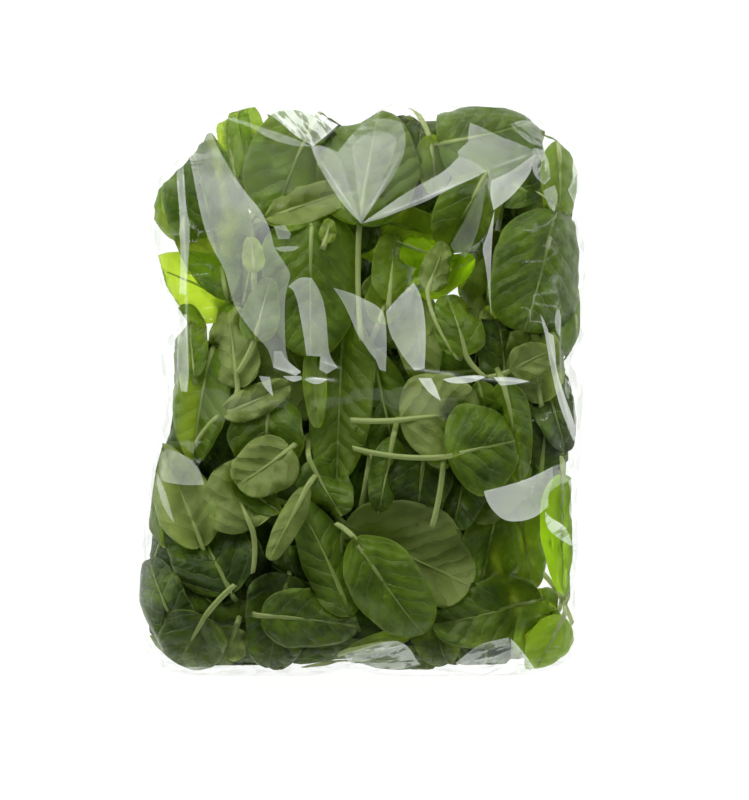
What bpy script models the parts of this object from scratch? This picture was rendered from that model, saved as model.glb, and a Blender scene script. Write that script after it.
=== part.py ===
"""A sealed clear bag packed with baby spinach, lying on its back: one closed solid of the filled bag.

Row frame: metres, +Z up out of the front face, +Y towards the end that was the bag's top,
origin on the table under the middle of the bag.
"""

import math

import bmesh
import bpy

# Driving dimensions.
BAG_WIDTH = 0.215
BAG_LENGTH = 0.274
BAG_THICKNESS = 0.060
RIM_HEIGHT = 0.023            # height of the widest line round the bag's side
FOOT_SHARE = 0.70             # how far out from the middle the flat underside reaches
CORNER_POWER = 11.0           # superellipse power of the outline: 2 is an oval, more is squarer
CROWN_POWER = 4.2             # how long the front stays full before it turns down to the rim
SHOULDER_POWER = 0.50         # how steeply the front meets the rim
DENT_FADE = 5.0               # how soon a dent in the outline fades out towards the middle

# Resolution.
SEGMENTS = 104                # points round the outline
FRONT_RINGS = 24              # rings from the middle of the front to the rim
BACK_RINGS = 16               # rings from the rim to the edge of the flat foot

# Where the film is drawn in round the outline: (x, y) on the rim, depth, reach along the rim.
DENTS = (
    (-0.107, 0.040, 0.015, 0.013),     # deep notch between two bulges on the left
    (-0.107, -0.004, 0.014, 0.038),    # long waist on the left
    (-0.107, -0.062, 0.005, 0.034),    # lower left side, easing back out from the waist
    (-0.107, 0.066, 0.010, 0.034),     # upper left side, drawn in
    (-0.100, 0.130, 0.024, 0.026),     # rounded upper left corner
    (0.106, 0.013, 0.008, 0.008),      # small notch on the right
    (0.106, -0.066, 0.005, 0.044),     # long flat on the lower right
    (0.104, -0.101, 0.008, 0.008),     # nick above the lower right corner
    (0.107, 0.080, 0.004, 0.007),      # nick under the upper right corner
    (-0.005, 0.134, 0.011, 0.014),     # dip between the two heads at the top
    (0.036, 0.137, 0.007, 0.007),      # small dip in the right-hand head
    (-0.005, -0.136, 0.004, 0.010),    # shallow dip in the bottom edge
    (0.100, 0.134, 0.011, 0.018),      # softened upper right corner
)

# Swells and hollows of the filled front: (x, y), height, reach. Hollows have a negative height.
SWELLS = (
    (-0.052, 0.085, 0.0050, 0.034),
    (0.060, 0.090, 0.0045, 0.036),
    (0.002, 0.108, -0.0050, 0.024),
    (0.028, 0.058, -0.0060, 0.020),
    (-0.050, 0.030, 0.0030, 0.030),
    (0.066, 0.020, 0.0035, 0.030),
    (-0.055, -0.045, 0.0040, 0.034),
    (0.040, -0.035, 0.0045, 0.034),
    (-0.010, -0.085, 0.0045, 0.036),
    (0.075, -0.090, -0.0030, 0.026),
    (-0.080, -0.100, 0.0030, 0.026),
)
CREASE_Y = 0.004              # the film's crease across the middle of the front
CREASE_DEPTH = 0.0040
CREASE_REACH = 0.013


def clear_scene():
    for obj in list(bpy.data.objects):
        bpy.data.objects.remove(obj, do_unlink=True)


def plain_material(name, colour, roughness, alpha):
    material = bpy.data.materials.new(name)
    material.use_nodes = True
    shader = material.node_tree.nodes["Principled BSDF"]
    shader.inputs["Base Color"].default_value = (*colour, 1.0)
    shader.inputs["Roughness"].default_value = roughness
    shader.inputs["Metallic"].default_value = 0.0
    shader.inputs["Alpha"].default_value = alpha
    return material


def bump(x, y, centre_x, centre_y, reach):
    """1 at the centre, falling off smoothly over the reach."""
    return math.exp(-((x - centre_x) ** 2 + (y - centre_y) ** 2) / reach ** 2)


def plan_point(angle, share):
    """A point at a share of the way from the middle to the outline, which is a squarish oval with the
    film's dents taken out of it. The dents fade out towards the middle."""
    half_width, half_length = BAG_WIDTH / 2, BAG_LENGTH / 2
    along_x = abs(math.cos(angle)) / half_width
    along_y = abs(math.sin(angle)) / half_length
    radius = (along_x ** CORNER_POWER + along_y ** CORNER_POWER) ** (-1 / CORNER_POWER)
    x, y = radius * math.cos(angle), radius * math.sin(angle)
    for dent_x, dent_y, depth, reach in DENTS:
        radius -= depth * bump(x, y, dent_x, dent_y, reach) * share ** DENT_FADE
    return share * radius * math.cos(angle), share * radius * math.sin(angle)


def front_height(x, y, share):
    """Height of the filled front at a share of the way from the middle (0) to the rim (1)."""
    fullness = (1 - share ** CROWN_POWER) ** SHOULDER_POWER
    crown = BAG_THICKNESS - RIM_HEIGHT
    for swell_x, swell_y, height, reach in SWELLS:
        crown += height * bump(x, y, swell_x, swell_y, reach)
    crown -= CREASE_DEPTH * bump(0, y, 0, CREASE_Y, CREASE_REACH)
    return RIM_HEIGHT + crown * fullness


def back_height(share):
    """Height of the underside between the flat foot (0) and the rim (1), as a quarter of an oval."""
    return RIM_HEIGHT * (1 - math.sqrt(max(0.0, 1 - share ** 2)))


def ring(mesh, share, height):
    """A closed loop of points at a share of the way out to the rim."""
    points = []
    for i in range(SEGMENTS):
        x, y = plan_point(2 * math.pi * i / SEGMENTS, share)
        points.append(mesh.verts.new((x, y, height(x, y))))
    return points


def join_rings(mesh, outer, inner):
    """A band of quads between two rings, facing outwards when the first ring lies outside the second."""
    for i in range(SEGMENTS):
        j = (i + 1) % SEGMENTS
        mesh.faces.new((outer[i], outer[j], inner[j], inner[i]))


def filled_bag_mesh():
    """The filled bag: front rings from the rim in to the middle, and back rings from the rim to the foot."""
    mesh = bmesh.new()
    shares = [math.sin(math.pi / 2 * i / FRONT_RINGS) for i in range(1, FRONT_RINGS + 1)]
    front = [ring(mesh, s, lambda x, y, s=s: front_height(x, y, s)) for s in shares]
    for inner, outer in zip(front, front[1:]):
        join_rings(mesh, outer, inner)
    middle = mesh.verts.new((0, 0, front_height(0, 0, 0)))
    for i in range(SEGMENTS):
        mesh.faces.new((front[0][i], front[0][(i + 1) % SEGMENTS], middle))

    above = front[-1]
    for i in range(1, BACK_RINGS + 1):
        out = math.cos(math.pi / 2 * i / BACK_RINGS)
        share = FOOT_SHARE + (1 - FOOT_SHARE) * out
        below = ring(mesh, share, lambda x, y, out=out: back_height(out))
        join_rings(mesh, below, above)
        above = below
    foot = mesh.faces.new(list(reversed(above)))
    bmesh.ops.triangulate(mesh, faces=[foot])
    return mesh


def centre_on_origin(mesh):
    """Puts the middle of the bag's box over the origin, with its foot on the table."""
    low = [min(v.co[axis] for v in mesh.verts) for axis in range(3)]
    high = [max(v.co[axis] for v in mesh.verts) for axis in range(3)]
    shift = (-(low[0] + high[0]) / 2, -(low[1] + high[1]) / 2, -low[2])
    bmesh.ops.translate(mesh, verts=mesh.verts, vec=shift)


def build_bag():
    mesh = filled_bag_mesh()
    centre_on_origin(mesh)
    data = bpy.data.meshes.new("spinach_bag")
    mesh.to_mesh(data)
    mesh.free()
    data.shade_smooth()
    data.materials.append(plain_material("bag_of_leaves", (0.07, 0.13, 0.03), 0.35, 1.0))
    bag = bpy.data.objects.new("spinach_bag", data)
    bpy.context.scene.collection.objects.link(bag)
    return bag


def main():
    clear_scene()
    build_bag()


main()
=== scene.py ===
"""Clear film bag packed with baby spinach leaves, lying on its back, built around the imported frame."""

import math

import bmesh
import bpy
import numpy as np
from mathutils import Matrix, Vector
from mathutils.bvhtree import BVHTree
from mathutils.geometry import delaunay_2d_cdt
from mathutils.kdtree import KDTree


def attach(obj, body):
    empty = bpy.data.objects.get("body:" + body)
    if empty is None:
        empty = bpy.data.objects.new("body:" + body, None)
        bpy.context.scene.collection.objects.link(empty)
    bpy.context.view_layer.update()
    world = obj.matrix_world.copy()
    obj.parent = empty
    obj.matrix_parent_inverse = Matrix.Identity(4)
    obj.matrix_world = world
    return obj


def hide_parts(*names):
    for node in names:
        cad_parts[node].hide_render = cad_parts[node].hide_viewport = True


bl_info = {
    "name": "Bag of Spinach",
    "version": (1, 0, 0),
    "blender": (4, 5, 0),
    "location": "3D View > Sidebar > Spinach Bag",
    "description": "Builds a clear film bag and the baby spinach leaves packed in it",
    "category": "Add Mesh",
}

MM = 0.001
BAG_NODE = "spinach_bag"
BODY = "root"

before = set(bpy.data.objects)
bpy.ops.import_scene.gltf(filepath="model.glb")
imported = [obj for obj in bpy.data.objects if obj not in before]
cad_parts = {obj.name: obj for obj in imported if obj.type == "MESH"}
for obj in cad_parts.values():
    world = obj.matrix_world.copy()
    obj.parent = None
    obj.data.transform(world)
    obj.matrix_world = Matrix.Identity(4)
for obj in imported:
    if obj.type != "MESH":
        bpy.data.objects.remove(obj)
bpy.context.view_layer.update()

# ---------------------------------------------------------------------------------------------
# Where the leaves that show at the front lie, front one first. In millimetres on the bag's plan: blade base
# x y, blade tip x y, blade width, which skin shows, tone from dark to yellow, and the end of the stalk where
# it shows. The tone is partly the leaf's own colour and partly painted light: low tones paint shade on
# leaves that lie deep, high tones paint a yellow glow on leaves that the light shines through.
# ---------------------------------------------------------------------------------------------

FACE, BACK = 0, 1

FRONT_LEAVES = [
    (-50, 54, -50, 69, 8, BACK, 0.5),
    (-17, 68, -14, 78, 6, BACK, 0.6),
    (-45, 80, -5, 94, 15, BACK, 0.25),
    (-1, 76, 6, 128, 40, FACE, 0.25, (0, 22)),
    (40, -32, 69, -24, 37, FACE, 0, (-4, -28)),
    (18, -15, 53, -10, 34, BACK, 0.1, (-5, -15)),
    (-75, -75, -91, -29, 22, BACK, 0.35, (-68, -82)),
    (-3, -70, 24, -114, 29, FACE, 0.05, (-12, -63)),
    (-8, -64, 46, -94, 44, BACK, 0.3),
    (-33, -28, -55, -46, 23, BACK, 0.05),
    (-38, -58, -59, -46, 10, FACE, -0.1),
    (-51, -66, -64, -38, 29, BACK, 0.15, (-51, -87)),
    (-25, -46, -41, -78, 9, BACK, 0.1),
    (-5, -107, -25, -53, 20, FACE, 0.15),
    (-28, -59, -10, -75, 16, FACE, 0, (-45, -51)),
    (-73, -107, -86, -129, 28, FACE, -0.35, (-59, -92)),
    (-47, -107, -5, -109, 23, FACE, -0.15),
    (-34, -88, -46, -129, 28, FACE, -0.4),
    (-59, -113, -64, -127, 15, BACK, -0.2),
    (86, -101, 38, -113, 28, FACE, -0.2, (106, -83)),
    (68, -93, 38, -108, 7, BACK, 0),
    (91, 84, 81, 30, 41, FACE, -0.1, (80, 80)),
    (31, 46, 40, 66, 11, BACK, 0.2, (45, 13)),
    (56, 33, 67, 63, 19, BACK, -0.1, (46, 13)),
    (49, 15, 43, 42, 19, FACE, 0.1, (58, 5)),
    (70, 8, 87, 18, 14, BACK, 0.1, (59, 5)),
    (26, 50, 26, 5, 19, BACK, 0.45),
    (-64, 42, -81, 125, 33, FACE, -0.15),
    (-50, 22, -43, 49, 14, FACE, 0, (-58, 7)),
    (-21, 128, -45, 82, 42, FACE, -0.02),
    (-23, 85, -25, 20, 40, FACE, 0.1),
    (36, 115, 84, 123, 42, FACE, 0),
    (-21, 28, -24, -15, 9, BACK, 1),
    (-8, 37, -13, -37, 28, FACE, 0.45),
    (32, 119, 37, 94, 13, FACE, 0.6, (23, 136)),
    (58, 100, 42, 68, 24, FACE, 0),
    (9, 80, 38, 72, 15, FACE, 0.4),
    (38, -38, 38, -18, 15, BACK, 0.1, (33, -65)),
    (30, -30, 25, -62, 24, FACE, -0.4),
    (51, -30, 45, -64, 19, FACE, -0.5),
    (15, -23, 9, -56, 14, FACE, -0.2),
    (6, 19, 15, -45, 22, FACE, 0.1),
    (52, 8, 24, 6, 14, FACE, -0.1),
    (55, 3, 64, -28, 13, FACE, 0.1),
    (66, 3, 78, -40, 15, FACE, 0.05),
    (85, -7, 79, 28, 23, BACK, 0.15),
    (68, -2, 67, 31, 21, FACE, -0.3),
    (87, 6, 94, -28, 17, FACE, -0.5),
    (102, 48, 100, 12, 14, FACE, 0.5),
    (93, 117, 95, 79, 15, FACE, 0.3),
    (97, 100, 105, 128, 10, FACE, 1),
    (-60, 100, -67, 135, 9, FACE, 0.6),
    (-54, 98, -61, 136, 10, FACE, 0.4),
    (-50, 112, -55, 135, 10, FACE, 0.8),
    (-60, 41, -97, 59, 27, FACE, 1),
    (-82, 86, -99, 108, 22, FACE, 0.8),
    (-79, 5, -82, 38, 13, FACE, -0.1),
    (-70, 21, -83, -30, 21, FACE, 0.2),
    (-58, 0, -62, 36, 20, BACK, -0.1),
    (-65, -12, -35, -2, 12, BACK, -0.1, (-78, -26)),
    (-43, -4, -47, -39, 30, FACE, 0),
    (-24, -34, -12, -59, 20, FACE, -0.05),
    (-12, -36, -21, -15, 14, FACE, 0, (-1, -50)),
    (4, -32, 6, -10, 12, FACE, 0.1, (-2, -64)),
    (52, -62, 74, -35, 20, BACK, 0.05, (40, -68)),
    (65, -58, 55, -97, 23, FACE, -0.05),
    (75, -55, 83, -94, 19, FACE, 0.05),
    (67, -56, 78, -92, 6, FACE, 1),
    (95, -41, 93, -93, 17, FACE, 1.7),
    (31, -107, 41, -129, 20, FACE, -0.25),
    (-6, -124, 26, -116, 7, FACE, 0.8),
    (-5, -130, 34, -127, 12, FACE, -0.3),
    (95, -108, 82, -134, 17, FACE, 0.9),
    (93, -106, 75, -125, 18, FACE, 0.1),
    (87, -89, 75, -82, 14, FACE, 0.1, (101, -113)),
    (93, -107, 80, -101, 14, FACE, 0.1, (104, -132)),
    (-61, -97, -82, -53, 33, FACE, -0.5),
    (-66, -102, -70, -53, 20, FACE, -0.4),
    (-58, -67, -49, -94, 13, FACE, -0.3),
    (-85, -119, -100, -84, 20, FACE, -0.5),
    (-91, -75, -100, -42, 12, FACE, 0.5),
    (19, 68, 42, 61, 14, FACE, 1.7),
    (23, 47, 52, 57, 15, FACE, 1.7),
    (13, 41, 16, 71, 16, FACE, 0.4),
    (45, 110, 23, 91, 21, FACE, -0.8),
    (66, 85, 75, 123, 29, FACE, -0.3),
    (-5, 99, -8, 127, 29, FACE, -0.3),
    (24, 94, 30, 123, 21, FACE, -0.4),
    (11, -25, 5, 8, 17, FACE, -0.9),
    (5, -6, 2, 28, 16, FACE, -0.9),
    (68, 42, 56, 70, 29, FACE, -0.4),
    (85, -39, 89, -10, 21, FACE, -0.5),
    (52, -82, 33, -53, 29, FACE, -0.6),
    (-20, -96, -47, -82, 24, FACE, -0.6),
    (90, 60, 93, 22, 20, FACE, 0.8),
    (74, -48, 88, -64, 20, FACE, 0.3),
    (-62, 90, -45, 112, 20, FACE, -0.2),
    (8, 30, 16, 54, 15, FACE, 0.8),
    (-58, 33, -50, 63, 22, FACE, -0.2),
    (-86, 70, -81, 122, 26, FACE, 0.05),
]

# Places where little or nothing lies behind the front leaves, so that the light comes through:
# centre x y and reach in millimetres.
CLEARINGS = [
    (-69, 31, 6),
    (42, 57, 18),
    (21, 60, 8),
    (68, -76, 6),
    (87, -90, 8),
    (-77, 47, 16),
    (101, 50, 6),
    (97, -70, 13),
    (89, -125, 12),
    (-86, 94, 10),
    (30, 66, 13),
    (-60, 123, 12),
    (100, 113, 14),
]

# Facets of the front film, each raised a little, where a pale painted reflection that glows with its own
# light stands for the light they catch: how strongly, which way its wrinkles run in degrees where it is
# crumpled, and its outline in millimetres on the bag's plan.
FACETS = [
    # long swath
    (0.86, None, [
        (-86.5, 118), (-83, 121.5), (-77.5, 125), (-72, 124), (-68.5, 115), (-63, 105), (-58.5, 97.5),
        (-53.5, 90.5), (-47, 83), (-43, 75.5), (-41.5, 70.5), (-40.5, 65), (-34.5, 56.5), (-32.5, 52),
        (-34.5, 46.5), (-35.5, 40), (-35.5, 27.5), (-35, 15), (-32.5, 10), (-28, 7), (-30, 6), (-41, 10),
        (-43, 18), (-47.5, 22.5), (-55, 31.5), (-60, 40), (-63, 54.5), (-69.5, 65), (-74.5, 78.5),
        (-81, 112)
    ]),
    # left shoulder streak
    (1.1, None, [
        (-87.5, 115), (-84.5, 118), (-83.5, 106), (-82.5, 94.5), (-81.5, 82.5), (-80, 77), (-80, 68),
        (-81, 56), (-82, 43.5), (-85, 44), (-84.5, 56), (-84.5, 70.5), (-85, 84), (-86.5, 96.5)
    ]),
    # left middle streak
    (1.3, None, [
        (-84.5, 33.5), (-81.5, 34.5), (-81, 20.5), (-80.5, 8.5), (-81.5, -2), (-84.5, -1.5), (-86, 7.5),
        (-86.5, 19)
    ]),
    # left leaf glare
    (0.6, None, [(-88.5, 27.5), (-86.5, 20.5), (-86, 7.5), (-85.5, -2), (-88, -5), (-90, 4), (-90.5, 15.5)]),
    # arch
    (1.05, None, [
        (-34, 47), (-30.5, 50), (-27.5, 51.5), (-23, 51), (-20, 46.5), (-17.5, 40.5), (-16, 31.5),
        (-15.5, 20.5), (-14.5, 14.5), (-11, 9.5), (-16, 6.5), (-19.5, 8.5), (-19, 14.5), (-25.5, 15),
        (-26.5, 23), (-28, 31.5), (-29.5, 40), (-31.5, 45.5)
    ]),
    # pale v
    (0.97, None, [
        (-13, 46.5), (-5.5, 44.5), (2, 41), (9.5, 37), (11.5, 31.5), (12, 19), (11.5, 10), (9.5, 10),
        (5, 15), (1, 21), (-2, 25), (-4.5, 31.5), (-8.5, 40)
    ]),
    # pale diamond
    (1.15, None, [
        (11.5, 35.5), (18, 43), (24.5, 49), (28, 43.5), (30, 30), (30, 18), (29.5, 9), (25, 8),
        (20.5, 13), (16.5, 19.5), (13, 25.5)
    ]),
    # heart
    (0.73, None, [
        (-23.5, 113), (-19, 114), (-11, 110.5), (-5.5, 118), (-1.5, 122.5), (3, 126), (10.5, 127.5),
        (18.5, 125), (21, 119), (20.5, 112), (18.5, 105), (13.5, 96), (6.5, 86.5), (0, 76.5), (-8.5, 85),
        (-15.5, 96), (-21, 105.5)
    ]),
    # heart bright side
    (1.05, None, [
        (-23.5, 113), (-18, 113), (-11, 109.5), (-7, 99), (-3, 85.5), (0, 76.5), (-8.5, 85), (-15.5, 96),
        (-21, 105.5)
    ]),
    # heart middle
    (0.97, None, [
        (-4.5, 113.5), (2, 120), (10.5, 121.5), (16.5, 117), (14.5, 106), (8, 94.5), (1.5, 83), (0, 79),
        (-2, 94.5)
    ]),
    # top flap
    (2.2, -52, [
        (-55, 135), (-49.5, 135.5), (-43, 135), (-31, 135), (-23.5, 131.5), (-15.5, 126.5), (-11, 124),
        (-17, 118), (-22.5, 113), (-31, 118), (-37, 124), (-43, 128.5), (-50, 132.5)
    ]),
    # band under flap
    (0.7, None, [
        (-63.5, 127.5), (-55, 125.5), (-47.5, 122.5), (-39.5, 120), (-31, 116.5), (-23, 113),
        (-29.5, 113), (-35.5, 114), (-44.5, 117.5), (-53, 123), (-60, 125)
    ]),
    # arm
    (1.05, None, [
        (0, 76.5), (8, 82), (18.5, 89.5), (28, 95), (37.5, 100), (43, 105), (45.5, 108), (51.5, 106),
        (58.5, 101), (51.5, 97), (45, 94.5), (36.5, 90), (28.5, 86), (18.5, 82.5), (10, 79)
    ]),
    # star
    (0.73, None, [
        (45, 110.5), (50, 115), (50, 119.5), (51, 124.5), (58, 121.5), (64, 118), (73.5, 114.5),
        (82.5, 110.5), (80, 105), (79, 100), (73.5, 93), (69, 88), (61.5, 82.5), (60, 90), (59, 101),
        (51.5, 105.5), (45.5, 107.5)
    ]),
    # star bright side
    (1.48, None, [
        (82.5, 110.5), (80, 105), (79, 100), (73.5, 93), (69, 88), (61.5, 82.5), (60, 90), (60.5, 96.5),
        (68.5, 100), (75.5, 105)
    ]),
    # fold right of star
    (1.1, 70, [(80.5, 112.5), (85.5, 111.5), (88, 105.5), (88.5, 98), (85.5, 95), (81.5, 98), (79.5, 103)]),
    # top right shoulder
    (0.65, -35, [
        (70, 124), (76.5, 126.5), (84, 125), (85.5, 119), (87.5, 113.5), (81.5, 113.5), (75.5, 117)
    ]),
    # strip under star
    (0.3, None, [
        (58.5, 98.5), (57, 86.5), (55, 75), (51.5, 65.5), (48.5, 60.5), (43, 63.5), (41.5, 66.5),
        (48.5, 78.5), (53.5, 89.5)
    ]),
    # streak under star
    (1.2, None, [
        (62, 82.5), (61, 71.5), (60.5, 60), (60, 46.5), (60.5, 33.5), (59.5, 42), (58, 57), (56, 65),
        (58.5, 70.5)
    ]),
    # upper right ear
    (2.1, 82, [
        (106, 131.5), (107, 123), (108, 110.5), (107, 97.5), (104.5, 85), (103.5, 73.5), (100.5, 80.5),
        (100, 87.5), (97, 93), (99.5, 97.5), (99.5, 105.5), (101.5, 115.5), (104, 124)
    ]),
    # right upper glare
    (0.7, None, [(85, 92), (90.5, 95), (92.5, 89.5), (90.5, 82), (87.5, 85)]),
    # right streak
    (1.6, None, [
        (85.5, 27), (90, 24.5), (91, 17), (91.5, 8.5), (95, -2), (98.5, -11.5), (101, -18), (102.5, -23),
        (100, -25), (97, -18.5), (92.5, -7), (89.5, 6.5), (87, 18)
    ]),
    # right edge streak
    (1.5, None, [(100.5, 1.5), (102.5, -5.5), (103, -17), (101.5, -20), (100, -13.5), (100, -5)]),
    # right small streak
    (1.3, None, [(83.5, 34.5), (85.5, 31.5), (87.5, 26), (85.5, 26)]),
    # right notch glare
    (1.1, None, [(92, 37.5), (94, 33.5), (93, 24), (91, 26.5), (90.5, 33.5)]),
    # right inner glare
    (0.8, None, [(96, 5), (98.5, 2), (97.5, -5.5), (95.5, -2)]),
    # low triangle
    (1.5, None, [
        (57, -48), (66, -46), (78, -42.5), (89.5, -37), (90, -43), (87.5, -49.5), (87.5, -55.5),
        (81.5, -60.5), (74, -62.5), (66.5, -62), (61, -57), (58, -52)
    ]),
    # low triangle far part
    (0.75, None, [(89.5, -37), (101, -33), (102, -40.5), (98.5, -44), (93, -45), (87.5, -49.5), (90, -43)]),
    # edge glare
    (1.6, 25, [(86, -57.5), (88.5, -61), (95.5, -64.5), (98, -69.5), (100, -75), (93, -71), (86.5, -65.5)]),
    # edge glare upper
    (1.5, 78, [(97.5, -44), (101.5, -41), (102.5, -53.5), (100.5, -64), (97.5, -59), (99, -51.5)]),
    # bottom crumple
    (1.2, 12, [
        (-8, -125.5), (2, -121.5), (15, -118), (20.5, -120), (24, -124), (25.5, -127.5), (28, -130.5),
        (18.5, -133), (8, -133.5), (-5.5, -131)
    ]),
    # bottom flap
    (1.2, 24, [
        (44.5, -129.5), (49.5, -125), (55.5, -120), (69, -117), (70.5, -122.5), (71, -135), (62.5, -136),
        (52, -135), (47, -133)
    ]),
    # bottom corner
    (1.9, None, [(70, -117.5), (74.5, -122), (79.5, -129), (84, -136), (71, -135)]),
    # bottom edge glare
    (1.3, None, [
        (-4.5, -133.5), (9, -133.5), (28, -133), (44.5, -134.5), (51.5, -135.5), (32.5, -136.5),
        (9, -136)
    ]),
    # low left edge
    (1.4, -75, [
        (-106, -101), (-103, -104.5), (-101.5, -115), (-99.5, -125), (-95.5, -130.5), (-100.5, -127.5),
        (-104.5, -121), (-106.5, -111.5)
    ]),
    # low left glint
    (1.8, None, [(-92.5, -129.5), (-88.5, -131.5), (-84.5, -133.5), (-89.5, -133.5)]),
    # bottom left edge
    (1.0, 3, [(-84.5, -132), (-74.5, -131.5), (-62.5, -133), (-53, -134), (-61.5, -135), (-77, -135)]),
    # crease glint a
    (1.3, None, [(-47.5, 5.5), (-42.5, 5), (-41, -4), (-45.5, 0.5)]),
    # crease glint b
    (1.4, None, [(-36.5, 5.5), (-28, 5.5), (-27.5, 4), (-31, 2.5), (-35, 4)]),
    # crease glint c
    (1.4, None, [(-26.5, 4), (-22, 5), (-15.5, 4), (-19.5, 1.5), (-23.5, 2)]),
    # crease glint d
    (1.5, None, [(26.5, 4.5), (32.5, 4.5), (35, 0), (37, -6), (31.5, -2.5)]),
    # crease glint e
    (1.7, None, [(38, 4), (43, 5), (55, 6), (58, 5), (50.5, 2), (41.5, 2)]),
    # crease glint f
    (1.5, None, [(61.5, 5), (70.5, 5), (78.5, 3), (71.5, 1.5), (65, 1)]),
    # foot of swath
    (1.5, None, [(-40.5, 17), (-37, 17), (-34.5, 12.5), (-28, 7.5), (-30.5, 5.5), (-41, 9.5)]),
    # foot of v
    (1.2, None, [(5, 18), (11.5, 19), (11.5, 7.5), (8.5, 8.5)]),
    # low left leaf glare
    (0.85, None, [
        (-96, -32.5), (-91, -28.5), (-81.5, -31.5), (-75.5, -37), (-73, -45), (-79, -45.5), (-87.5, -45),
        (-94, -43.5)
    ]),
    # low left leaf edge
    (0.8, None, [(-97, -39), (-94, -43.5), (-90, -53.5), (-87.5, -63), (-91, -59), (-95, -51)]),
    # small glare
    (0.7, None, [(-40.5, 75), (-35.5, 75.5), (-32.5, 71.5), (-33.5, 69), (-38.5, 69)]),
    # small glare low
    (0.8, None, [(-40, 65), (-34, 66), (-29, 65.5), (-31, 63.5), (-37.5, 63)]),
]

# Folds of the front film, each a raised ridge with a painted highlight along it, from one end to the other,
# in millimetres on the bag's plan.
CREASES = [
    ((-42.5, 9.5), (-28, 6.5)),
    ((-29.5, 5), (-8, 3)),
    ((-19.5, 12.5), (-8, 8.5)),
    ((16, 10), (51.5, 5)),
    ((44.5, 5), (85, 2)),
    ((0, 76.5), (58.5, 100)),
    ((-23.5, 113), (0, 76.5)),
    ((0, 76.5), (21, 113.5)),
    ((58, 101), (61.5, 83)),
    ((82.5, 110.5), (58, 101)),
    ((-83, 99), (-80.5, -5.5)),
    ((-85.5, 32.5), (-86.5, -5.5)),
    ((85.5, 31.5), (100, -25)),
    ((92.5, 37), (94.5, -5.5)),
    ((-47.5, 135), (-22, 113)),
    ((-9.5, 125), (-22, 113)),
    ((-8, -125), (25, -120)),
    ((45, -130), (69.5, -125)),
    ((47, -133.5), (70, -131.5)),
    ((70, -117), (84, -136)),
    ((-105.5, -100), (-90, -130)),
    ((106, 128.5), (102, 73)),
]


# ---------------------------------------------------------------------------------------------
# Node trees
# ---------------------------------------------------------------------------------------------


class Wire:
    """An output socket that can be used in sums like a number."""

    def __init__(self, graph, socket):
        self.graph = graph
        self.socket = socket

    def __getitem__(self, name):
        return Wire(self.graph, self.socket.node.outputs[name])

    def __add__(self, other):
        return self.graph.math("ADD", self, other)

    def __radd__(self, other):
        return self.graph.math("ADD", other, self)

    def __sub__(self, other):
        return self.graph.math("SUBTRACT", self, other)

    def __rsub__(self, other):
        return self.graph.math("SUBTRACT", other, self)

    def __mul__(self, other):
        return self.graph.math("MULTIPLY", self, other)

    def __rmul__(self, other):
        return self.graph.math("MULTIPLY", other, self)

    def __truediv__(self, other):
        return self.graph.math("DIVIDE", self, other)

    def __rtruediv__(self, other):
        return self.graph.math("DIVIDE", other, self)

    def __pow__(self, other):
        return self.graph.math("POWER", self, other)

    def __neg__(self):
        return self.graph.math("MULTIPLY", self, -1.0)

    def __abs__(self):
        return self.graph.math("ABSOLUTE", self)


class Graph:
    """Adds nodes to a shader tree or a geometry tree."""

    # the sockets of a Mix node that blends colours
    MIX_FIRST, MIX_SECOND, MIX_RESULT = 6, 7, 2

    def __init__(self, tree):
        self.tree = tree

    def add(self, kind, settings=None, inputs=None):
        """Adds a node, sets it up, fills its sockets and returns its first output."""
        node = self.tree.nodes.new(kind)
        for name, value in (settings or {}).items():
            setattr(node, name, value)
        for name, value in (inputs or {}).items():
            if isinstance(value, Wire):
                self.tree.links.new(value.socket, node.inputs[name])
            else:
                node.inputs[name].default_value = value
        return Wire(self, node.outputs[0]) if node.outputs else node

    def math(self, operation, *values):
        return self.add("ShaderNodeMath", {"operation": operation}, dict(enumerate(values)))

    def clamp(self, value):
        return self.add("ShaderNodeClamp", None, {"Value": value})

    def step(self, value, low, high):
        """0 below low, 1 above high, smooth in between."""
        sockets = {"Value": value, "From Min": low, "From Max": high}
        return self.add("ShaderNodeMapRange", {"interpolation_type": "SMOOTHSTEP"}, sockets)

    def vector(self, x=0.0, y=0.0, z=0.0):
        return self.add("ShaderNodeCombineXYZ", None, {"X": x, "Y": y, "Z": z})

    def split(self, vector):
        parts = self.add("ShaderNodeSeparateXYZ", None, {"Vector": vector})
        return parts["X"], parts["Y"], parts["Z"]

    def mix(self, factor, first, second):
        """One colour blended into another."""
        sockets = {"Factor": factor, self.MIX_FIRST: first, self.MIX_SECOND: second}
        return self.add("ShaderNodeMix", {"data_type": "RGBA"}, sockets)[self.MIX_RESULT]


# ---------------------------------------------------------------------------------------------
# The bag's shape, read from the frame
# ---------------------------------------------------------------------------------------------


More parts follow.
